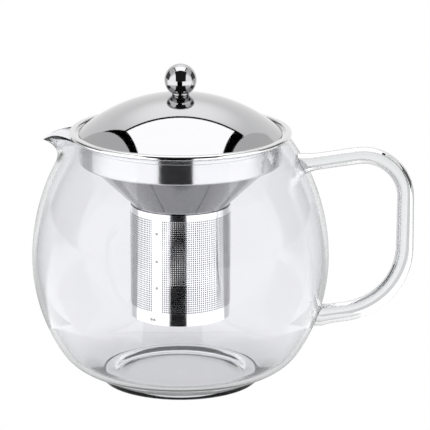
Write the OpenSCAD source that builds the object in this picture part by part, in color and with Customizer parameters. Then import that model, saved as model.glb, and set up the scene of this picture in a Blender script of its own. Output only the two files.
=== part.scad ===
// Glass teapot with a lift-out steel infuser and a domed steel lid.
// Origin: centre of the foot ring on the table. +Z up, handle towards +X, spout towards -X.

/* [Glass body] */
// Widest radius of the glass
belly_r = 74.2; // [72:0.1:76]
// Height of the widest point
belly_z = 63; // [62:0.5:64]
// Height of the glass rim
rim_z = 125.3; // [124:0.1:126]
// Thickness of the blown glass wall
wall = 2.4; // [2:0.1:2.6]
// Profile radius above the widest point
upper_arc_r = 102; // [101:0.5:104]
// Profile radius below the widest point
lower_arc_r = 85; // [83:0.5:88]
// Profile radius of the turn towards the base
turn_arc_r = 25; // [23:0.5:27]
// Outer radius of the foot ring
foot_r = 39.5; // [38:0.5:41]
// Inner radius of the foot ring
foot_inner_r = 33; // [31:0.5:34]
// Height of the hollow under the base
foot_recess = 2; // [1.5:0.1:2.4]
// Height of the flat inner floor
floor_z = 5.2; // [5:0.1:5.6]
// Radius of the flat inner floor
floor_r = 38.5; // [36:0.5:40]

/* [Spout] */
// How far the pouring lip is drawn out of the rim
lip_reach = 16.4; // [12:0.2:18]
// Sideways spread of the pouring lip
lip_width = 9.4; // [8:0.2:11]
// How far the tip of the lip droops below the rim
lip_droop = 4; // [2:0.2:5]
// Height where the lip starts to leave the round wall
lip_start_z = 110; // [106:0.5:112]

/* [Handle] */
// Width of the glass rod across the handle's plane
rod_w = 9.8; // [8:0.1:11]
// Thickness of the rod in the upper arm
rod_t_top = 8.3; // [7:0.1:9]
// Thickness of the rod in the lower arm
rod_t_low = 9.6; // [8:0.1:10]
// Distance from the pot's axis to the upright of the handle
grip_x = 112; // [108:0.5:114]
// Radius of the upper bend
upper_bend_r = 20.6; // [18:0.1:22]
// Height of the upper bend's centre
upper_bend_z = 97.2; // [96:0.1:98]
// Radius of the lower bend
lower_bend_r = 35.4; // [34:0.1:36]
// Height of the lower bend's centre
lower_bend_z = 72; // [71:0.1:73]
// Slope of both arms in degrees
arm_slope = 10; // [8:0.5:12]
// How much the rod spreads where it is fused to the wall
weld_spread = 0.16; // [0.1:0.02:0.3]

/* [Infuser] */
// Outer radius of the rolled rim that rests on the glass
flange_r = 55.2; // [54.6:0.1:56]
// Radius of the wall around the lid's seat
seat_r = 52; // [51.6:0.1:52.2]
// Outer radius of the collar band
collar_r = 50.2; // [49.8:0.1:50.6]
// Height of the underside of the collar
collar_z = 111.8; // [111:0.1:113]
// Thickness of the steel sheet of collar and funnel
sheet = 0.8; // [0.6:0.1:0.9]
// Outer radius of the tea tube
tube_r = 25; // [24:0.5:26]
// Thickness of the perforated sheet
tube_sheet = 0.4; // [0.3:0.1:0.5]
// Height of the lower end of the tea tube
tube_z = 33.9; // [30:0.5:40]
// Height of the upper end of the tea tube
tube_top_z = 90.6; // [89:0.1:91.5]

/* [Lid] */
// Outer radius of the lid at its edge
lid_r = 50.6; // [50.2:0.1:50.8]
// Spherical radius of the lid's outside
dome_r = 76.2; // [74:0.2:80]
// Thickness of the lid's sheet
dome_sheet = 0.8; // [0.6:0.1:1]
// Radius of the ball knob
ball_r = 8; // [7:0.1:9]
// Radius of the ring under the ball
spacer_r = 4.3; // [4:0.1:4.6]
// Radius of the knob's screw
screw_r = 2; // [1.5:0.1:2]

/* [Hidden] */

$fn = 96;
glass_tint = [0.86, 0.9, 0.93, 0.45];
steel = [0.78, 0.78, 0.8];
mirror_steel = [0.88, 0.88, 0.9];
bar_steel = [0.6, 0.61, 0.63];

// Points along an arc about [cx, cz], from angle a0 to a1 in n steps.
function arc(cx, cz, r, a0, a1, n) =
  [for (i = [0:n]) let (a = a0 + (a1 - a0) * i / n) [cx + r * cos(a), cz + r * sin(a)]];

// --- Glass profile: three tangent arcs above a shallow cone and a foot ring ---
upper_cx = belly_r - upper_arc_r;
lower_cx = belly_r - lower_arc_r;
turn_from = 33;
turn_to = 60;
turn_inner_to = 66;
turn_cx = lower_cx + (lower_arc_r - turn_arc_r) * cos(turn_from);
turn_cz = belly_z - (lower_arc_r - turn_arc_r) * sin(turn_from);
foot_edge = 1.2;
// Height where the plain turned body ends and the shoulder with the spout begins.
shoulder_z = 100;

// Height angle on the upper arc at height z, for a profile set back from the outside.
function rise(z, set_back) = asin((z - belly_z) / (upper_arc_r - set_back));
mouth_angle = asin((rim_z - wall / 2 - belly_z) / (upper_arc_r - wall / 2));

// Outside of the wall from the foot up to the given height, set back by a distance.
function outside(set_back, top_z) = concat(
  [[foot_r - set_back, foot_edge], [foot_r - set_back, foot_recess + 0.4]],
  arc(turn_cx, turn_cz, turn_arc_r - set_back, -turn_to, -turn_from, 6),
  arc(lower_cx, belly_z, lower_arc_r - set_back, -turn_from + 2.75, 0, 11),
  arc(upper_cx, belly_z, upper_arc_r - set_back, 2.5, rise(top_z, set_back), 10)
);

// Inside of the wall from the given height down to the floor.
function inside(top_z) = concat(
  arc(upper_cx, belly_z, upper_arc_r - wall, rise(top_z, wall), 2.5, 10),
  arc(lower_cx, belly_z, lower_arc_r - wall, 0, -turn_from + 2.75, 11),
  arc(turn_cx, turn_cz, turn_arc_r - wall, -turn_from, -turn_inner_to, 6),
  [[floor_r, floor_z]]
);

// Section of the shoulder wall: up the outside, over the rounded rim and down the inside. It is set a
// hair inside the turned wall and ends in a tongue sunk into that wall, so that the two join cleanly.
ledge = 0.06;
tongue = 2;
tongue_in = 0.8;
shoulder_in = ledge + 0.15;
shoulder_foot = shoulder_z + 0.1;
function wall_x(z, set_back) = upper_cx + (upper_arc_r - set_back) * cos(rise(z, set_back));
shoulder_section = concat(
  [[wall_x(shoulder_z - tongue, tongue_in), shoulder_z - tongue]],
  arc(upper_cx, belly_z, upper_arc_r - ledge, rise(shoulder_foot, ledge), mouth_angle, 9),
  arc(upper_cx + (upper_arc_r - wall / 2) * cos(mouth_angle),
      belly_z + (upper_arc_r - wall / 2) * sin(mouth_angle),
      wall / 2, mouth_angle + 45, mouth_angle + 135, 2),
  arc(upper_cx, belly_z, upper_arc_r - wall + shoulder_in, mouth_angle, rise(shoulder_foot, wall), 9),
  [[wall_x(shoulder_z - tongue, wall - tongue_in), shoulder_z - tongue]]
);

// --- Pouring lip: the shoulder wall drawn outwards and down, most at its middle ---
lip_nose = 1.2;
droop_width = 4.5;
lip_power = 1.3;
around = 80;
// Columns of the wall, counted from the spout, closer together near the spout.
crowding = 0.6;
function column(j) = let (t = 360 * j / around) t - crowding * sin(t) * 180 / PI;
function lip_share(v) = exp(-pow((sqrt(v * v + lip_nose * lip_nose) - lip_nose) / lip_width, lip_power));
function lip_climb(z) = pow(max(0, (z - lip_start_z) / (rim_z - lip_start_z)), 2);
function drawn_out(p, a) =
  let (v = p[0] * sin(a), pull = cos(a) > 0 ? lip_climb(p[1]) : 0)
  [-(p[0] * cos(a) + lip_reach * pull * lip_share(v)),
   -v,
   p[1] - lip_droop * pull * exp(-pow(v / droop_width, 2))];

module shoulder() {
  n = len(shoulder_section);
  points = [for (p = shoulder_section) for (j = [0:around - 1]) drawn_out(p, column(j))];
  faces = [for (i = [0:n - 1]) for (j = [0:around - 1])
    let (i2 = (i + 1) % n, j2 = (j + 1) % around)
    [i * around + j, i2 * around + j, i2 * around + j2, i * around + j2]];
  polyhedron(points, faces, convexity = 6);
}

// One blown piece: belly, foot ring, floor, shoulder and pouring lip.
module glass_body() color(glass_tint) {
  union() {
    rotate_extrude() polygon(concat(
      [[0, foot_recess], [foot_inner_r - 1, foot_recess], [foot_inner_r, 0], [foot_r - foot_edge, 0]],
      outside(0, shoulder_z),
      inside(shoulder_z),
      [[0, floor_z]]
    ));
    shoulder();
  }
}

// --- Handle: one bent glass rod of oval section, fused to the wall at both ends ---
upper_bend_x = grip_x - upper_bend_r;
lower_bend_x = grip_x - lower_bend_r;
upper_root_x = 62;
lower_root_x = 70;
weld_depth = 0.4;
weld_length = 3.5;
rod_sides = 20;

// Radius of the outside of the wall at height z, set in by the depth of the weld.
function weld_r(z) =
  let (up = z > belly_z, r = up ? upper_arc_r : lower_arc_r)
  (up ? upper_cx : lower_cx) + sqrt(r * r - pow(z - belly_z, 2)) - weld_depth;

// Stations [x, z, heading] along the rod, from the upper root round to the lower root.
function bend(cx, cz, r, a0, a1, n) =
  [for (i = [0:n]) let (a = a0 + (a1 - a0) * i / n) [cx + r * cos(a), cz + r * sin(a), a - 90]];
function arm(end, xs) = [for (x = xs) [x, end[1] + (x - end[0]) * tan(arm_slope), end[2]]];
upper_bend = bend(upper_bend_x, upper_bend_z, upper_bend_r, 90 + arm_slope, 0, 12);
lower_bend = bend(lower_bend_x, lower_bend_z, lower_bend_r, 0, arm_slope - 90, 14);
rod = concat(
  arm(upper_bend[0], [upper_root_x, upper_root_x + 2, upper_root_x + 4, upper_root_x + 7]),
  upper_bend,
  lower_bend,
  arm(lower_bend[14], [lower_root_x + 7, lower_root_x + 4, lower_root_x + 2, lower_root_x])
);

// Half thickness at height z, and the spread of the rod close to its root at x.
function rod_half_t(z) = (rod_t_low + (rod_t_top - rod_t_low) * min(1, max(0, (z - 40) / 45))) / 2;
function spread(x, root) = 1 + weld_spread * exp(-pow((x - root) / weld_length, 2));
function rod_ring(s) =
  let (root = s[1] > belly_z ? upper_root_x : lower_root_x, k = spread(s[0], root), t = k * rod_half_t(s[1]))
  [for (i = [0:rod_sides - 1]) let (a = 360 * i / rod_sides)
    [s[0] - t * cos(a) * sin(s[2]), k * rod_w / 2 * sin(a), s[1] + t * cos(a) * cos(s[2])]];
// A ring or a point moved along X onto the wall.
function on_wall(p) = [sqrt(pow(weld_r(p[2]), 2) - p[1] * p[1]), p[1], p[2]];

module handle() color(glass_tint) {
  last = len(rod) - 1;
  rings = [for (i = [0:last]) let (ring = rod_ring(rod[i]))
    i == 0 || i == last ? [for (p = ring) on_wall(p)] : ring];
  roots = [for (i = [0, last]) on_wall([rod[i][0], 0, rod[i][1]])];
  sides = [for (i = [0:last - 1]) for (j = [0:rod_sides - 1]) let (j2 = (j + 1) % rod_sides)
    [i * rod_sides + j, i * rod_sides + j2, (i + 1) * rod_sides + j2, (i + 1) * rod_sides + j]];
  caps = [for (j = [0:rod_sides - 1]) let (j2 = (j + 1) % rod_sides, end = last * rod_sides)
    each [[(last + 1) * rod_sides, j2, j], [(last + 1) * rod_sides + 1, end + j, end + j2]]];
  polyhedron(concat([for (ring = rings) each ring], roots), concat(sides, caps), convexity = 6);
}

// --- Infuser: rolled rim, collar and funnel carry a perforated tube with a floor ---
flange_gap = 0.2;
flange_h = 2.4;
flange_z = rim_z + flange_gap;
seat_z = flange_z + 1;
bead_r = flange_h / 2;
collar_corner = 1.4;
collar_step = 0.3;
collar_step_z = flange_z - 3.4;
funnel_seat_r = 46.4;
funnel_lap = 48.4;

module infuser_collar() color(steel) {
  rotate_extrude() polygon(concat(
    [[collar_r - sheet, seat_z], [seat_r, seat_z], [seat_r, flange_z + flange_h - 0.3],
     [seat_r + 0.3, flange_z + flange_h]],
    arc(flange_r - bead_r, flange_z + bead_r, bead_r, 90, -90, 8),
    [[collar_r + collar_step, flange_z], [collar_r + collar_step, collar_step_z + collar_step],
     [collar_r, collar_step_z]],
    arc(collar_r - collar_corner, collar_z + collar_corner, collar_corner, 0, -90, 6),
    [[funnel_seat_r, collar_z], [funnel_seat_r, collar_z + sheet]],
    arc(collar_r - collar_corner, collar_z + collar_corner, collar_corner - sheet, -90, 0, 6)
  ));
}

neck_r = tube_r - tube_sheet - 0.05;
neck_z = tube_top_z - 3.5;
cone_z = tube_top_z + 0.3;
cone_top_r = funnel_seat_r - 0.4;

module infuser_funnel() color(mirror_steel) {
  lap_z = collar_z + sheet;
  rotate_extrude() polygon([
    [neck_r, neck_z], [neck_r, cone_z], [neck_r + 0.6, cone_z + 1.2],
    [cone_top_r, collar_z], [cone_top_r, lap_z], [funnel_lap, lap_z], [funnel_lap, lap_z + sheet],
    [cone_top_r - 0.4, lap_z + sheet], [neck_r + 0.6 - sheet * 1.2, cone_z + 1.2 + sheet * 0.4],
    [neck_r - sheet, cone_z + 0.4], [neck_r - sheet, neck_z]
  ]);
}

module infuser_tube() color(steel) {
  translate([0, 0, tube_z]) difference() {
    cylinder(h = tube_top_z - tube_z, r = tube_r);
    translate([0, 0, -1]) cylinder(h = tube_top_z - tube_z + 2, r = tube_r - tube_sheet);
  }
}

// Pressed cup, pushed up into the lower end of the tube.
module infuser_floor() color(steel) {
  cup_h = 4;
  cup_r = tube_r - tube_sheet - 0.05;
  translate([0, 0, tube_z + 0.2]) difference() {
    cylinder(h = cup_h, r = cup_r);
    translate([0, 0, tube_sheet]) cylinder(h = cup_h, r = cup_r - tube_sheet);
  }
}

// --- Lid: pressed dome, locating ring, ball knob on a ring, screw and washer ---
lid_gap = 0.3;
lid_z = seat_z + lid_gap;
dome_edge = acos(lid_r / dome_r);
dome_cz = lid_z - dome_r * sin(dome_edge);
dome_in_r = dome_r - dome_sheet;
hem = 1.6;
screw_clear = 0.1;
function dome_inside_z(r) = dome_cz + sqrt(dome_in_r * dome_in_r - r * r);
function dome_outside_z(r) = dome_cz + sqrt(dome_r * dome_r - r * r);

module lid_dome() color(mirror_steel) {
  hole_r = screw_r + screw_clear;
  difference() {
    rotate_extrude() polygon(concat(
      arc(0, dome_cz, dome_r, dome_edge, 90, 20),
      arc(0, dome_cz, dome_in_r, 90, acos((lid_r - hem) / dome_in_r), 20),
      [[lid_r - hem, lid_z]]
    ));
    translate([0, 0, dome_cz]) cylinder(h = dome_r + 1, r = hole_r);
  }
}

ring_r = collar_r - sheet - 0.8;
ring_sheet = 0.6;
ring_h = 8;

module lid_ring() color(steel) {
  top_z = dome_inside_z(ring_r) - 0.05;
  translate([0, 0, top_z - ring_h]) difference() {
    cylinder(h = ring_h, r = ring_r);
    translate([0, 0, -1]) cylinder(h = ring_h + 2, r = ring_r - ring_sheet);
  }
}

spacer_h = 1;
spacer_z = dome_cz + dome_r;
ball_flat_z = spacer_z + spacer_h;
ball_flat_r = spacer_r + 0.5;
ball_z = ball_flat_z + sqrt(ball_r * ball_r - ball_flat_r * ball_flat_r);
washer_r = 5;
washer_h = 0.8;
washer_z = dome_inside_z(washer_r) - washer_h - 0.02;
screw_grip = 6.5;

module knob_spacer() color(mirror_steel) {
  translate([0, 0, spacer_z]) difference() {
    cylinder(h = spacer_h, r = spacer_r);
    translate([0, 0, -1]) cylinder(h = spacer_h + 2, r = screw_r + screw_clear);
  }
}

module knob_ball() color(mirror_steel) {
  difference() {
    translate([0, 0, ball_z]) sphere(r = ball_r);
    translate([0, 0, ball_flat_z - ball_r]) cylinder(h = ball_r, r = ball_r);
    translate([0, 0, ball_flat_z - 1]) cylinder(h = screw_grip + 2, r = screw_r + 0.02);
  }
}

module knob_washer() color(steel) {
  translate([0, 0, washer_z]) difference() {
    cylinder(h = washer_h, r = washer_r);
    translate([0, 0, -1]) cylinder(h = washer_h + 2, r = screw_r + screw_clear);
  }
}

module knob_screw() color(bar_steel) {
  head_r = screw_r * 1.9;
  head_h = 2.4;
  slot = 0.9;
  difference() {
    union() {
      translate([0, 0, washer_z]) cylinder(h = ball_flat_z + screw_grip - washer_z, r = screw_r);
      translate([0, 0, washer_z - head_h]) rotate_extrude() polygon([
        [0, 0], [head_r * 0.6, 0], [head_r * 0.9, 0.6], [head_r, 1.4], [head_r, head_h], [0, head_h]
      ]);
    }
    for (a = [0, 90]) translate([0, 0, washer_z - head_h]) rotate([0, 0, a])
      cube([head_r * 1.1, slot, head_h], center = true);
  }
}

glass_body();
handle();
infuser_collar();
infuser_funnel();
infuser_tube();
infuser_floor();
lid_dome();
lid_ring();
knob_spacer();
knob_ball();
knob_washer();
knob_screw();
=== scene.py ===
from math import acos, asin, atan2, cos, degrees, exp, hypot, pi, radians, sin, sqrt, tan

import bmesh
import bpy
from mathutils import Matrix, Vector


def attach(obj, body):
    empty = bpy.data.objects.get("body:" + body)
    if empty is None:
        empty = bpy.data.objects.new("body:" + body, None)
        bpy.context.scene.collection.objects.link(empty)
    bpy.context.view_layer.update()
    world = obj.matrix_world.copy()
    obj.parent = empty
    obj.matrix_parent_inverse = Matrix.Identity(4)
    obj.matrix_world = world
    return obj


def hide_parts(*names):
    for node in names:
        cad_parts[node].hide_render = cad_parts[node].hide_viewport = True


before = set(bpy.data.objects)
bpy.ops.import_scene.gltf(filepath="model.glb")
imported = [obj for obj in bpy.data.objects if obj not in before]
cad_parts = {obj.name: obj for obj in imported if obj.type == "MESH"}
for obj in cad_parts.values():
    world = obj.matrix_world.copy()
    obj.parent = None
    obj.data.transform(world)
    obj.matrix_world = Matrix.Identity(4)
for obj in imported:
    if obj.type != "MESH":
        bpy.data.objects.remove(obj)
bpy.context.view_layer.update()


# ---- Glass body ----
# The pot is one piece of clear borosilicate glass, blown in a turning mould, with a foot ring pressed
# up under its base. Its rim is fire-polished, and the pouring lip is drawn out of the hot rim.
belly_r, belly_z, rim_z, wall = 74.2, 63, 125.3, 2.4
# The outline is an upper arc from the belly to the rim, a lower arc, and a tighter turn to the foot.
upper_arc_r, lower_arc_r, turn_arc_r = 102, 85, 25
upper_x, lower_x = belly_r - upper_arc_r, belly_r - lower_arc_r
turn_from, turn_to, turn_inner_to = 33, 60, 66
foot_r, foot_inner_r, foot_edge, foot_slope, foot_h, recess = 39.5, 33, 1.2, 1.5, 2.4, 2
recess_curve = ((0.5, 1), (0.7, 0.92), (0.85, 0.7), (0.95, 0.35), (1, 0.12))
floor_r, floor_z = 38.5, 5.2
lip_reach, lip_width, lip_droop, lip_start_z = 16.4, 9.4, 4, 110
lip_nose, droop_width, lip_power, crowding = 1.2, 4.5, 1.3, 0.6
outline_depth = 0.8


class Section:
    """A half-section in millimetres in the XZ plane, drawn point by point and spun round the axis."""

    def __init__(self, x, z):
        self.bm = bmesh.new()
        self.first = self.end = self.bm.verts.new((x, 0, z))

    def to(self, x, z):
        vert = self.bm.verts.new((x, 0, z))
        self.bm.edges.new((self.end, vert))
        self.end = vert
        return self

    def round(self, x, z, turn, steps):
        """An arc about (x, z) through turn degrees, counted from +X towards +Z."""
        self.end = bmesh.ops.spin(
            self.bm, geom=[self.end], cent=(x, 0, z), axis=(0, -1, 0), angle=radians(turn), steps=steps
        )["geom_last"][0]
        return self

    def spun(self, steps=192):
        """Closes the section, spins it and turns its faces outwards."""
        self.bm.edges.new((self.end, self.first))
        bmesh.ops.spin(
            self.bm, geom=self.bm.verts[:] + self.bm.edges[:], cent=(0, 0, 0), axis=(0, 0, 1),
            angle=2 * pi, steps=steps, use_merge=True,
        )
        bmesh.ops.remove_doubles(self.bm, verts=self.bm.verts, dist=0.001)
        bmesh.ops.recalc_face_normals(self.bm, faces=self.bm.faces)
        return self.bm


class Wire:
    """The output of a node. Python arithmetic on it adds Math nodes."""

    def __init__(self, nodes, socket):
        self.nodes, self.socket = nodes, socket

    def math(self, operation, other):
        return self.nodes.node("Math", {"operation": operation}, {0: self, 1: other})

    def __add__(self, other):
        return self.math("ADD", other)

    def __mul__(self, other):
        return self.math("MULTIPLY", other)

    def __pow__(self, other):
        return self.math("POWER", other)

    def __lt__(self, other):
        return self.math("LESS_THAN", other)

    __radd__, __rmul__ = __add__, __mul__


class Nodes:
    """A node tree, and the one way in which nodes are added to it."""

    def __init__(self, tree):
        self.tree = tree

    def join(self, socket, value):
        if isinstance(value, Wire):
            self.tree.links.new(value.socket, socket)
        else:
            socket.default_value = value

    def node(self, kind, settings, sockets, output=0):
        node = self.tree.nodes.new("ShaderNode" + kind)
        for key, value in settings.items():
            setattr(node, key, value)
        for key, value in sockets.items():
            self.join(node.inputs[key], value)
        return Wire(self, node.outputs[output])


class Finish(Nodes):
    """One material: a Principled shader with its fixed values, and the nodes that vary it."""

    def __init__(self, name, fixed):
        self.material = bpy.data.materials.new(name)
        self.material.use_nodes = True
        super().__init__(self.material.node_tree)
        self.shader = self.tree.nodes["Principled BSDF"]
        self.output = self.tree.nodes["Material Output"]
        self.vary(fixed)

    def vary(self, sockets):
        for key, value in sockets.items():
            self.join(self.shader.inputs[key], value)

    def place(self, scale=(1, 1, 1)):
        """Object coordinates, in metres, stretched by a scale."""
        spot = self.node("TexCoord", {}, {}, "Object")
        return self.node("Mapping", {}, {"Vector": spot, "Scale": scale})

    def noise(self, vector, scale, detail=3.0, roughness=0.5):
        return self.node(
            "TexNoise", {}, {"Vector": vector, "Scale": scale, "Detail": detail, "Roughness": roughness}
        )

    def mix(self, factor, low, high):
        """A colour between two others."""
        return self.node("Mix", {"data_type": "RGBA"}, {0: factor, 6: low, 7: high}, 2)

    def bump(self, height, depth):
        """A normal tilted by a height of 0 to 1 that stands for a depth in metres."""
        return self.node("Bump", {}, {"Strength": 1.0, "Distance": depth, "Height": height})


def finished(bm, name, finish, sharp=35):
    """A mesh in millimetres becomes a piece in metres, smooth except at corners."""
    bmesh.ops.scale(bm, vec=(0.001, 0.001, 0.001), verts=bm.verts)
    mesh = bpy.data.meshes.new(name)
    bm.to_mesh(mesh)
    bm.free()
    mesh.shade_smooth()
    mesh.set_sharp_from_angle(angle=radians(sharp))
    mesh.materials.append(finish.material)
    piece = bpy.data.objects.new(name, mesh)
    bpy.context.collection.objects.link(piece)
    return piece


def rise(z, radius):
    """Angle above the belly at which an upper arc of this radius reaches height z."""
    return degrees(asin((z - belly_z) / radius))


def draw_lip(vert):
    """Moves a point of the round wall outwards and down where the pouring lip is."""
    r, z = hypot(vert.co.x, vert.co.y), vert.co.z
    turn = atan2(-vert.co.y, -vert.co.x)
    turn -= crowding * sin(turn)
    across = r * sin(turn)
    climb = max(0, (z - lip_start_z) / (rim_z - lip_start_z)) ** 2 if cos(turn) > 0 else 0
    share = exp(-(((sqrt(across ** 2 + lip_nose ** 2) - lip_nose) / lip_width) ** lip_power))
    vert.co = (
        -(r * cos(turn) + lip_reach * climb * share),
        -across,
        z - lip_droop * climb * exp(-((across / droop_width) ** 2)),
    )


def clear_glass(name, ripple, density, cast, outline):
    """Clear glass with a faint grey cast, and a painted dark outline where it is seen edge on: painted
    shade for the darkness that thick glass shows at its edges.
    """
    glass = Finish(name, {
        "Transmission Weight": 1.0, "IOR": 1.47, "Roughness": 0.0, "Specular Tint": (0.5, 0.5, 0.52, 1),
    })
    streaks = glass.noise(glass.place((1, 1, 2.5)), 26, 2)
    paler = tuple(1.015 * c for c in cast)
    glass.vary({
        "Base Color": glass.mix(streaks, (*cast, 1), (*paler, 1)),
        "Normal": glass.bump(streaks, ripple),
    })
    # Painted shade: a dark shader is mixed in where the surface turns edge on, in place of the darkness
    # that refraction through thick glass gives there.
    edge_on = glass.node("LayerWeight", {}, {"Blend": 0.5}, "Facing") ** outline
    dark = glass.node("BsdfPrincipled", {}, {"Base Color": (0.11, 0.125, 0.12, 1), "Roughness": 0.3})
    clear = Wire(glass, glass.shader.outputs["BSDF"])
    surface = glass.node("MixShader", {}, {0: edge_on * outline_depth, 1: clear, 2: dark})
    body = glass.node("VolumeAbsorption", {}, {"Color": (0.72, 0.86, 0.78, 1), "Density": density})
    glass.join(glass.output.inputs["Surface"], surface)
    glass.join(glass.output.inputs["Volume"], body)
    return glass


blown_glass = clear_glass("blown_glass", 0.00006, 4.0, (0.902, 0.902, 0.922), 7.0)

mouth = rise(rim_z - wall / 2, upper_arc_r - wall / 2)
turn_x = lower_x + (lower_arc_r - turn_arc_r) * cos(radians(turn_from))
turn_z = belly_z - (lower_arc_r - turn_arc_r) * sin(radians(turn_from))
turn_end_x = turn_x + turn_arc_r * cos(radians(turn_to))
turn_end_z = turn_z - turn_arc_r * sin(radians(turn_to))
rim_x = upper_x + (upper_arc_r - wall / 2) * cos(radians(mouth))

pot_section = Section(0, recess)
for share, depth in recess_curve:
    pot_section.to(foot_inner_r * share, recess * depth)
pot_mesh = (
    pot_section
    .to(foot_inner_r + foot_slope, 0)
    .to(foot_r - foot_edge, 0)
    .round(foot_r - foot_edge, foot_edge, 90, 6)
    .to(foot_r, foot_h)
    .to(turn_end_x, turn_end_z)
    .round(turn_x, turn_z, turn_to - turn_from, 10)
    .round(lower_x, belly_z, turn_from, 16)
    .round(upper_x, belly_z, mouth, 36)
    .round(rim_x, rim_z - wall / 2, 180, 10)
    .round(upper_x, belly_z, -mouth, 36)
    .round(lower_x, belly_z, -turn_from, 16)
    .round(turn_x, turn_z, turn_from - turn_inner_to, 12)
    .to(floor_r, floor_z)
    .to(floor_r * 0.6, floor_z)
    .to(0, floor_z)
    .spun(240)
)
for vert in pot_mesh.verts:
    draw_lip(vert)
glass_pot = finished(pot_mesh, "glass_pot", blown_glass, 50)
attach(glass_pot, "pot")
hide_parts("glass_body")


# ---- Handle ----
# A solid glass rod of oval section, bent hot round two bends and fused to the wall at both ends, where
# it spreads a little. The lower arm is the thicker one.
rod_w, rod_t_top, rod_t_low = 9.8, 8.3, 9.6
thick_below_z, thin_above_z = 40, 85
grip_x, arm_slope = 112, 10
upper_bend_r, upper_bend_z = 20.6, 97.2
lower_bend_r, lower_bend_z = 35.4, 72
upper_root_x, lower_root_x = 62, 70
weld_spread, weld_length, weld_line = 0.16, 3.5, 0.05
upper_bend_x, lower_bend_x = grip_x - upper_bend_r, grip_x - lower_bend_r


def wall_r(z):
    """Outside radius of the glass wall at height z."""
    arc_r, arc_x = (upper_arc_r, upper_x) if z > belly_z else (lower_arc_r, lower_x)
    return arc_x + sqrt(arc_r ** 2 - (z - belly_z) ** 2)


def bend(x, z, r, start, end, steps):
    """Stations (x, z, heading) round a bend, in radians."""
    turns = [radians(start + (end - start) * i / steps) for i in range(steps + 1)]
    return [(x + r * cos(t), z + r * sin(t), t - pi / 2) for t in turns]


def arm(end, places):
    """Stations at these places in X on the straight arm that meets a bend's end."""
    return [(x, end[1] + (x - end[0]) * tan(radians(arm_slope)), end[2]) for x in places]


upper_bend = bend(upper_bend_x, upper_bend_z, upper_bend_r, 90 + arm_slope, 0, 26)
lower_bend = bend(lower_bend_x, lower_bend_z, lower_bend_r, 0, arm_slope - 90, 26)
# Distances from a root along its arm, closer together where the rod spreads.
from_root = [0, 0.7, 1.5, 2.5, 3.5, 5, 7, 10, 14]
stations = (
    arm(upper_bend[0], [upper_root_x + d for d in from_root])
    + upper_bend
    + lower_bend
    + arm(lower_bend[-1], [lower_root_x + d for d in reversed(from_root[:-2])])
)

rod_mesh = bmesh.new()
ring = bmesh.ops.create_circle(rod_mesh, segments=40, radius=1)["verts"]
edges = list({edge for vert in ring for edge in vert.link_edges})
for station in stations[1:]:
    made = bmesh.ops.extrude_edge_only(rod_mesh, edges=edges)["geom"]
    raised = [part for part in made if isinstance(part, bmesh.types.BMVert)]
    bmesh.ops.translate(rod_mesh, vec=(0, 0, 1), verts=raised)
    edges = [part for part in made if isinstance(part, bmesh.types.BMEdge)]
bmesh.ops.holes_fill(rod_mesh, edges=rod_mesh.edges)
caps = [face for face in rod_mesh.faces if len(face.verts) > 4]
bmesh.ops.poke(rod_mesh, faces=caps)
for vert in rod_mesh.verts:
    index = round(vert.co.z)
    x, z, heading = stations[index]
    root = upper_root_x if z > belly_z else lower_root_x
    spread = 1 + weld_spread * exp(-(((x - root) / weld_length) ** 2))
    thinning = min(1, max(0, (z - thick_below_z) / (thin_above_z - thick_below_z)))
    half_t = spread * (rod_t_low + (rod_t_top - rod_t_low) * thinning) / 2
    spot = Vector((
        x - half_t * vert.co.x * sin(heading),
        spread * rod_w / 2 * vert.co.y,
        z + half_t * vert.co.x * cos(heading),
    ))
    if index in (0, len(stations) - 1):
        spot.x = sqrt((wall_r(spot.z) + weld_line) ** 2 - spot.y ** 2)
    vert.co = spot
bmesh.ops.recalc_face_normals(rod_mesh, faces=rod_mesh.faces)

drawn_glass = clear_glass("drawn_rod_glass", 0.00002, 0.3, (0.86, 0.86, 0.875), 2.2)
glass_handle = finished(rod_mesh, "glass_handle", drawn_glass, 50)
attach(glass_handle, "pot")
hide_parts("handle")


# ---- Infuser collar ----
# A deep-drawn stainless steel band with a rolled rim that rests on the glass. Inside the rim is the
# lid's seat, and under the band's rounded corner is the hole that the funnel hangs from.
flange_z, flange_h, flange_r, bead_r = 125.5, 2.4, 55.2, 1.2
seat_r, seat_z = 52, 126.5
collar_r, collar_z, sheet, corner_r = 50.2, 111.8, 0.8, 1.4
step, step_z = 0.3, 122.1
funnel_seat_r, lap_r = 46.4, 48.4
seat_edge, flange_edge = 0.3, 0.2
polish_depth = 0.0000006


def turned_steel(name, colour, roughness, rings, wear):
    """Polished steel with fine rings from the polishing wheel, and faint hand wear."""
    steel = Finish(name, {"Metallic": 1.0})
    lines = steel.noise(steel.place((6, 6, 900)), rings, 2, 0.6)
    smears = steel.noise(steel.place(), 38, 4, 0.6)
    darker = tuple(0.93 * c for c in colour)
    steel.vary({
        "Base Color": steel.mix(smears * 0.6 + lines * 0.4, (*darker, 1), (*colour, 1)),
        "Roughness": roughness + wear * smears ** 2 + 0.5 * wear * lines,
        "Normal": steel.bump(lines, polish_depth),
    })
    return steel


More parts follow.
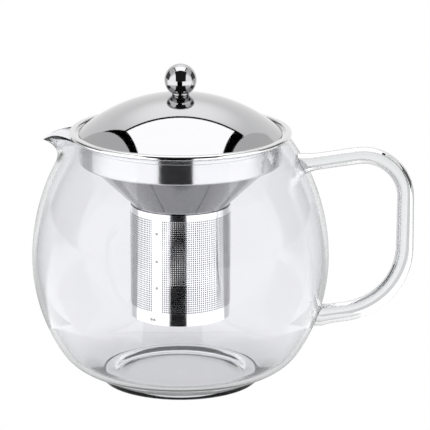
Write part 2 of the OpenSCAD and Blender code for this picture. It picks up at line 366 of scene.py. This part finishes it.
collar_steel = turned_steel("collar_steel", (0.74, 0.74, 0.745), 0.07, 1.4, 0.10)
collar_mesh = (
    Section(collar_r - sheet, seat_z)
    .to(seat_r, seat_z)
    .to(seat_r, flange_z + flange_h - seat_edge)
    .round(seat_r + seat_edge, flange_z + flange_h - seat_edge, -90, 3)
    .to(flange_r - bead_r, flange_z + flange_h)
    .round(flange_r - bead_r, flange_z + bead_r, -180, 16)
    .to(collar_r + step + flange_edge, flange_z)
    .to(collar_r + step, flange_z - flange_edge)
    .to(collar_r + step, step_z + step)
    .to(collar_r, step_z)
    .to(collar_r, collar_z + corner_r)
    .round(collar_r - corner_r, collar_z + corner_r, -90, 8)
    .to(funnel_seat_r, collar_z)
    .to(funnel_seat_r, collar_z + sheet)
    .to(collar_r - corner_r, collar_z + sheet)
    .round(collar_r - corner_r, collar_z + corner_r, 90, 8)
    .spun()
)
infuser_collar = finished(collar_mesh, "steel_collar", collar_steel)
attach(infuser_collar, "infuser")
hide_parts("infuser_collar")


# ---- Infuser funnel ----
# A spun steel cone whose upper edge laps inside the collar's hole. Its lower neck is pushed into the
# tea tube and spot-welded there.
tube_r, tube_sheet, tube_z, tube_top_z = 25, 0.4, 33.9, 90.6
fit_gap, neck_h, lap_step = 0.05, 3.5, 0.4
neck_r, neck_z, cone_z = tube_r - tube_sheet - fit_gap, tube_top_z - neck_h, tube_top_z + 0.3
flare, flare_h = 0.6, 1.2
inner_shift, inner_lift = 1.2 * sheet, 0.4 * sheet
cone_top_r = funnel_seat_r - lap_step
funnel_steel = turned_steel("funnel_steel", (0.46, 0.46, 0.475), 0.04, 1.1, 0.06)
funnel_mesh = (
    Section(neck_r, neck_z)
    .to(neck_r, cone_z)
    .to(neck_r + flare, cone_z + flare_h)
    .to(cone_top_r, collar_z)
    .to(cone_top_r, collar_z + sheet)
    .to(lap_r, collar_z + sheet)
    .to(lap_r, collar_z + 2 * sheet)
    .to(cone_top_r - lap_step, collar_z + 2 * sheet)
    .to(neck_r + flare - inner_shift, cone_z + flare_h + inner_lift)
    .to(neck_r - sheet, cone_z + lap_step)
    .to(neck_r - sheet, neck_z)
    .spun()
)
infuser_funnel = finished(funnel_mesh, "steel_funnel", funnel_steel)
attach(infuser_funnel, "infuser")
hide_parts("infuser_funnel")


# ---- Tea tube ----
# Thin stainless sheet etched with a square grid of small holes, then rolled and lapped along a plain
# strip that runs from top to bottom. Plain bands are left at both ends.
hole_rows, hole_columns, pitch, hole_rim = 43, 138, 1.1, 0.3
first_row_z = 40.15
strip_columns, strip_azimuth = 6, -111


def rolled(vert):
    """Carries a cell corner of the flat sheet to its place on the tube."""
    column, row = vert.co.x, vert.co.y
    strip = 2 * pi * tube_r - hole_columns * pitch
    along = column * strip / strip_columns if column <= strip_columns else (
        strip + (column - strip_columns) * pitch)
    turn = radians(strip_azimuth) + (along - strip / 2) / tube_r
    if row < 1:
        z = tube_z + row * (first_row_z - tube_z)
    elif row > hole_rows + 1:
        z = first_row_z + hole_rows * pitch
        z += (row - hole_rows - 1) * (tube_top_z - z)
    else:
        z = first_row_z + (row - 1) * pitch
    vert.co = (tube_r * cos(turn), tube_r * sin(turn), z)


tube_mesh = bmesh.new()
wide, high = strip_columns + hole_columns, hole_rows + 2
bmesh.ops.create_grid(tube_mesh, x_segments=wide, y_segments=high, size=0.5)
bmesh.ops.translate(tube_mesh, vec=(0.5, 0.5, 0), verts=tube_mesh.verts)
bmesh.ops.scale(tube_mesh, vec=(wide, high, 1), verts=tube_mesh.verts)
cells = [
    face for face in tube_mesh.faces
    if face.calc_center_median().x > strip_columns and 1 < face.calc_center_median().y < high - 1
]
bmesh.ops.inset_individual(tube_mesh, faces=cells, thickness=hole_rim / pitch)
bmesh.ops.delete(tube_mesh, geom=cells, context="FACES")
for vert in tube_mesh.verts:
    rolled(vert)
bmesh.ops.remove_doubles(tube_mesh, verts=tube_mesh.verts, dist=0.01)
bmesh.ops.recalc_face_normals(tube_mesh, faces=tube_mesh.faces)
bmesh.ops.solidify(tube_mesh, geom=tube_mesh.faces[:], thickness=tube_sheet)

etched_steel = Finish("etched_steel", {"Metallic": 1.0})
mottle = etched_steel.noise(etched_steel.place(), 160, 4, 0.6)
grain = etched_steel.noise(etched_steel.place((1, 1, 12)), 900, 2)
# Painted shade: the inner face of the tube, and everything nearer the axis, gets a dark colour for the
# shade inside the tube.
level = etched_steel.place((1, 1, 0))
radius = etched_steel.node("VectorMath", {"operation": "LENGTH"}, {0: level}, "Value")
inside = radius < (tube_r - tube_sheet / 2) / 1000
bright = etched_steel.mix(mottle, (0.88, 0.88, 0.885, 1), (0.95, 0.95, 0.955, 1))
etched_steel.vary({
    "Base Color": etched_steel.mix(inside, bright, (0.10, 0.10, 0.11, 1)),
    "Roughness": 0.07 + 0.09 * mottle + 0.04 * grain,
    "Normal": etched_steel.bump(grain, 0.000002),
})
tea_tube = finished(tube_mesh, "tea_tube", etched_steel, 30)
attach(tea_tube, "infuser")
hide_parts("infuser_tube")


# ---- Spot welds ----
# Small round dimples where electrodes have melted the sheets together: three down the tube's lap and
# two pairs at the floor. The heat leaves them a little brown.
weld_r, weld_rim, weld_depth, weld_stand = 0.75, 0.28, 0.03, 0.035
lap_welds = [(strip_azimuth, z) for z in (80.5, 66.3, 52.7)]
floor_welds = [(towards, 36.2) for towards in (-118, -114.2, 62, 65.8)]
weld_mesh = bmesh.new()
for towards, z in lap_welds + floor_welds:
    made = bmesh.ops.create_circle(weld_mesh, cap_ends=True, segments=14, radius=weld_r)["verts"]
    face = made[0].link_faces[0]
    bmesh.ops.inset_individual(weld_mesh, faces=[face], thickness=weld_rim)
    dimple = [vert for vert in face.verts if vert not in made]
    bmesh.ops.translate(weld_mesh, vec=(0, 0, -weld_depth), verts=dimple)
    carry = Matrix.Rotation(radians(towards), 4, "Z") @ Matrix.Translation((tube_r + weld_stand, 0, z))
    bmesh.ops.transform(weld_mesh, matrix=carry @ Matrix.Rotation(pi / 2, 4, "Y"), verts=made + dimple)

weld_steel = Finish("weld_steel", {"Metallic": 1.0})
tint = weld_steel.noise(weld_steel.place(), 700, 2)
weld_steel.vary({
    "Base Color": weld_steel.mix(tint, (0.36, 0.34, 0.33, 1), (0.5, 0.48, 0.45, 1)),
    "Roughness": 0.3 + 0.2 * tint,
})
spot_welds = finished(weld_mesh, "spot_welds", weld_steel)
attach(spot_welds, "infuser")


# ---- Infuser floor ----
# A shallow cup pressed from the same etched sheet and pushed up into the lower end of the tube. Its
# plain wall and edge turn in to a plate of holes, with a plain border where the holes stop.
cup_z, cup_r, cup_h, cup_edge, cup_corner = tube_z + 0.2, neck_r, 4, 2, 0.8
plate_cells, plate_edge, border_out, border_in = 40, 2.6, 1.9, 3.4
cup_mesh = (
    Section(cup_r - cup_edge, cup_z)
    .to(cup_r - cup_corner, cup_z)
    .round(cup_r - cup_corner, cup_z + cup_corner, 90, 5)
    .to(cup_r, cup_z + cup_h)
    .to(cup_r - tube_sheet, cup_z + cup_h)
    .to(cup_r - tube_sheet, cup_z + cup_corner)
    .round(cup_r - cup_corner, cup_z + cup_corner, -90, 5)
    .to(cup_r - cup_edge, cup_z + tube_sheet)
    .spun(128)
)
plate_mesh = bmesh.new()
bmesh.ops.create_grid(
    plate_mesh, x_segments=plate_cells, y_segments=plate_cells, size=plate_cells * pitch / 2
)
outer = [face for face in plate_mesh.faces if face.calc_center_median().length > cup_r - plate_edge]
bmesh.ops.delete(plate_mesh, geom=outer, context="FACES")
cells = plate_mesh.faces[:]
bmesh.ops.inset_individual(plate_mesh, faces=cells, thickness=hole_rim)
bmesh.ops.delete(plate_mesh, geom=cells, context="FACES")
bmesh.ops.recalc_face_normals(plate_mesh, faces=plate_mesh.faces)
bmesh.ops.solidify(plate_mesh, geom=plate_mesh.faces[:], thickness=tube_sheet)
bmesh.ops.translate(plate_mesh, vec=(0, 0, cup_z + tube_sheet), verts=plate_mesh.verts)
border_mesh = (
    Section(cup_r - border_in, cup_z + fit_gap)
    .to(cup_r - border_out, cup_z + fit_gap)
    .to(cup_r - border_out, cup_z + tube_sheet - fit_gap)
    .to(cup_r - border_in, cup_z + tube_sheet - fit_gap)
    .spun(128)
)
# These pieces lie nearer the axis than the tube's inner face, so the etched steel paints them dark all
# over: painted shade inside the tube.
floor_cup = finished(cup_mesh, "floor_cup", etched_steel)
floor_plate = finished(plate_mesh, "floor_plate", etched_steel)
floor_border = finished(border_mesh, "floor_border", etched_steel)
for piece in (floor_cup, floor_plate, floor_border):
    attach(piece, "infuser")
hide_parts("infuser_floor")


# ---- Lid dome ----
# A pressed dome of stainless steel, polished to a mirror, with its edge turned in. It rests on the
# collar's seat and carries the knob at its top.
lid_r, dome_r, dome_sheet, hem, hem_edge, lid_z, hole_r = 50.6, 76.2, 0.8, 1.6, 0.1, 126.8, 2.1
edge_angle = degrees(acos(lid_r / dome_r))
dome_z = lid_z - dome_r * sin(radians(edge_angle))
dome_in_r = dome_r - dome_sheet
hem_angle = degrees(acos((lid_r - hem) / dome_in_r))
top_angle = degrees(acos(hole_r / dome_r))
mirror_steel = turned_steel("mirror_steel", (0.50, 0.50, 0.51), 0.022, 0.5, 0.03)
dome_mesh = (
    Section(lid_r, lid_z)
    .round(0, dome_z, top_angle - edge_angle, 40)
    .to(hole_r, dome_z + dome_in_r * sin(radians(top_angle)))
    .round(0, dome_z, hem_angle - top_angle, 40)
    .to(lid_r - hem, lid_z + hem_edge)
    .to(lid_r - hem + hem_edge, lid_z)
    .spun(256)
)
lid_dome = finished(dome_mesh, "mirror_dome", mirror_steel)
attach(lid_dome, "lid")
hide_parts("lid_dome")


# ---- Lid ring ----
# A band of thinner steel sheet, left satin and welded under the dome. It drops inside the collar with
# a little play and keeps the lid centred when the pot is tilted.
ring_play, ring_sheet, ring_h, ring_edge = 0.8, 0.6, 8, 0.3
ring_r = collar_r - sheet - ring_play
ring_top = dome_z + sqrt(dome_in_r ** 2 - ring_r ** 2) - fit_gap
ring_low = ring_top - ring_h
satin_steel = turned_steel("satin_steel", (0.66, 0.66, 0.67), 0.2, 2.0, 0.15)
ring_mesh = (
    Section(ring_r - ring_sheet, ring_top)
    .to(ring_r - ring_sheet, ring_low + ring_edge)
    .round(ring_r - ring_sheet / 2, ring_low + ring_edge, 180, 8)
    .to(ring_r, ring_top)
    .spun()
)
lid_ring = finished(ring_mesh, "locating_ring", satin_steel)
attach(lid_ring, "lid")
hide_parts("lid_ring")


# ---- Knob ----
# A turned steel ball on a small turned ring, held through the dome by a cross-head screw and a washer
# from below.
spacer_r, spacer_h, spacer_edge, flat_margin, ball_r, screw_r = 4.3, 1, 0.15, 0.5, 8, 2
spacer_z = dome_z + dome_r
flat_z, flat_r = spacer_z + spacer_h, spacer_r + flat_margin
ball_z = flat_z + sqrt(ball_r ** 2 - flat_r ** 2)
spacer_mesh = (
    Section(hole_r, spacer_z)
    .to(spacer_r - spacer_edge, spacer_z)
    .round(spacer_r - spacer_edge, spacer_z + spacer_edge, 90, 4)
    .to(spacer_r, spacer_z + spacer_h - spacer_edge)
    .round(spacer_r - spacer_edge, spacer_z + spacer_h - spacer_edge, 90, 4)
    .to(hole_r, spacer_z + spacer_h)
    .spun(96)
)
flat_angle = degrees(asin((flat_z - ball_z) / ball_r))
ball_mesh = (
    Section(flat_r, flat_z)
    .round(0, ball_z, 90 - flat_angle, 48)
    .to(0, ball_z)
    .to(screw_r, ball_z)
    .to(screw_r, flat_z)
    .spun(128)
)
knob_spacer = finished(spacer_mesh, "knob_ring", mirror_steel)
knob_ball = finished(ball_mesh, "knob_ball_polished", mirror_steel)
for piece, node in ((knob_spacer, "knob_spacer"), (knob_ball, "knob_ball")):
    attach(piece, "lid")
    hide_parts(node)

for node in ("knob_washer", "knob_screw"):
    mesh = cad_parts[node].data
    mesh.materials.clear()
    mesh.materials.append(satin_steel.material)


# ---- Camera ----
# A long lens near table height looks a little down on the pot, with the handle turned towards it. It is
# shifted to the right and up, so that the pot stands left of the middle.
look_at = Vector((0, 0, 0.075))
distance, elevation, azimuth = 1.5, radians(15.4), radians(7)
sensor, lens, shift_right, shift_up = 36, 251.1627907, 0.08023256, 0.04186047
camera = bpy.data.objects.new("camera", bpy.data.cameras.new("camera"))
bpy.context.collection.objects.link(camera)
back = Vector((sin(azimuth) * cos(elevation), -cos(azimuth) * cos(elevation), sin(elevation)))
camera.location = look_at + distance * back
camera.rotation_euler = back.to_track_quat("Z", "Y").to_euler()
camera.data.sensor_width, camera.data.lens = sensor, lens
camera.data.shift_x, camera.data.shift_y = shift_right, shift_up
bpy.context.scene.camera = camera


# ---- Table and soft light ----
# A white table and surround that give off an even light, brighter high up behind the pot. Large
# panels and dark cards stand far out, for the glass and the steel to show.
bpy.context.scene.view_settings.view_transform = "Standard"
table_half, table_drop, pot_reach, flag_far, flag_h = 4, 0.0002, 0.1, 5.5, 2.9
face_the_camera = Matrix.Rotation(azimuth, 3, "Z")


def fade(nodes, value, across, levels):
    """Goes smoothly from one level to the other while the value crosses a range."""
    return nodes.node("MapRange", {"interpolation_type": "SMOOTHSTEP"}, {
        "Value": value, "From Min": across[0], "From Max": across[1], "To Min": levels[0],
        "To Max": levels[1],
    })


world = bpy.data.worlds.new("studio")
world.use_nodes = True
bpy.context.scene.world = world
surround = Nodes(world.node_tree)
high_behind = face_the_camera @ Vector((0, 0.64, 0.77))
nearness = surround.node(
    "VectorMath", {"operation": "DOT_PRODUCT"},
    {0: surround.node("TexCoord", {}, {}, "Generated"), 1: high_behind}, "Value",
)
background = surround.tree.nodes["Background"]
surround.join(background.inputs["Color"], (1, 1, 1, 1))
surround.join(background.inputs["Strength"], fade(surround, nearness, (0.88, 1.0), (1.0, 1.5)))


def lit(name, glow):
    """A surface that gives off an even light of its own."""
    paint = Finish(name, {"Base Color": (0, 0, 0, 1), "Roughness": 1.0, "Specular IOR Level": 0.0})
    paint.vary({"Emission Color": (1, 1, 1, 1), "Emission Strength": glow})
    return paint


def stage_piece(bm, name, paint, seen):
    """Puts a mesh in metres on the stage, seen by the camera or only lighting and reflecting."""
    mesh = bpy.data.meshes.new(name)
    bm.to_mesh(mesh)
    bm.free()
    mesh.materials.append(paint.material)
    piece = bpy.data.objects.new(name, mesh)
    bpy.context.collection.objects.link(piece)
    piece.visible_camera = seen


def card(name, sideways, upwards, far, glow, slant=0):
    """A curved card that spans these degrees sideways and up, seen from the pot towards the camera. A
    slant lowers the top edge by so many degrees at the end of the sideways span."""
    bm = bmesh.new()
    bmesh.ops.create_grid(bm, x_segments=16, y_segments=16, size=0.5)
    for vert in bm.verts:
        along, above = vert.co.x + 0.5, vert.co.y + 0.5
        side = radians(sideways[0] + along * (sideways[1] - sideways[0]))
        up = radians(upwards[0] + above * (upwards[1] - slant * along - upwards[0]))
        vert.co = far * Vector((sin(side), -cos(side) * cos(up), cos(side) * sin(up)))
    bmesh.ops.rotate(bm, cent=(0, 0, 0), matrix=face_the_camera, verts=bm.verts)
    bmesh.ops.translate(bm, vec=look_at, verts=bm.verts)
    stage_piece(bm, name, lit(name, glow), False)


def ring_card(name, low, high, start, end, paint):
    """A sector between two points (radius, height), and two azimuths counted from the camera's side."""
    bm = bmesh.new()
    bm.edges.new([bm.verts.new((0, -r, z)) for r, z in (low, high)])
    bmesh.ops.rotate(
        bm, cent=(0, 0, 0), matrix=Matrix.Rotation(azimuth + radians(start), 3, "Z"), verts=bm.verts
    )
    bmesh.ops.spin(
        bm, geom=bm.verts[:] + bm.edges[:], cent=(0, 0, 0), axis=(0, 0, 1), angle=radians(end - start),
        steps=32,
    )
    stage_piece(bm, name, paint, False)


table = bmesh.new()
bmesh.ops.create_grid(table, x_segments=1, y_segments=1, size=table_half)
bmesh.ops.translate(table, vec=(0, 0, -table_drop), verts=table.verts)
stage_piece(table, "table", lit("white_table", 1.0), True)

# Sheets laid round the pot, which only the glass and the steel show, with light and shade painted on
# the table: a painted shadow under the pot, painted shade towards the camera, painted pools of light to
# its left and right, and duller painted shade behind.
# The pot's painted shadow: this sheet glows less towards the axis.
shade_paint = lit("table_shade", 1.0)
shade_spot = shade_paint.node("TexCoord", {}, {}, "Object")
from_axis = shade_paint.node("VectorMath", {"operation": "LENGTH"}, {0: shade_spot}, "Value")
shade_paint.vary({"Emission Strength": fade(shade_paint, from_axis, (0.03, 0.1), (0.7, 1.0))})
ring_card("table_shade", (0.001, -0.0001), (pot_reach, -0.0001), 0, 359.9, shade_paint)

# Painted light on the table: the aprons to the left and right glow brighter towards the front, as pools
# of light.
apron_paint = lit("bright_apron", 1.0)
apron_spot = apron_paint.node("TexCoord", {}, {}, "Object")
backwards = apron_paint.node("SeparateXYZ", {}, {0: apron_spot}, "Y")
apron_paint.vary({"Emission Strength": fade(apron_paint, backwards, (-0.1, 0.4), (1.75, 0.6))})
# Painted shade: the table is duller further round to the sides.
side_paint = lit("dull_table_sides", 0.72)
# The wedge towards the camera gives off no light: painted shade on the table in front of the pot.
for name, start, end, paint in (
    ("painted_shade_wedge", -23, 13, lit("painted_shade_wedge", 0.0)),
    ("left_apron", -112, -23, apron_paint),
    ("right_apron", 13, 112, apron_paint),
    ("left_dull_side", -141, -112, side_paint),
    ("right_dull_side", 112, 141, side_paint),
):
    ring_card(name, (pot_reach, 0.0002), (3.9, 0.0002), start, end, paint)

# Dark flags stand at both sides and outline the glass.
for name, start, end in (("left_flag", -134, -88), ("right_flag", 88, 134)):
    ring_card(name, (flag_far, 0), (flag_far, flag_h), start, end, lit(name, 0.1))

# What the steel reflects: the unlit room behind the camera, a panel in front at each side, and three
# panels overhead with dark gaps between them.
card("dark_studio", (-34, 38), (-3, 80), 7.5, 0.02)
card("left_front", (-85, -34), (-3, 60), 7.5, 1.7)
card("right_front", (38, 85), (-3, 60), 7.5, 1.5)
card("overhead_border", (-29, 29), (80, 125.4), 6.5, 0.0)
card("overhead_panel", (-24.8, 24.8), (80, 123.0), 6.2, 2.0)
card("left_gap", (-29, -24.8), (90, 144), 6.2, 0.0, 20)
card("right_gap", (24.8, 29.7), (90, 118), 6.2, 0.0, -6)
card("left_panel", (-64, -28.8), (84, 165), 6.8, 0.75)
card("right_panel", (29.5, 64), (84, 150), 6.8, 0.75)
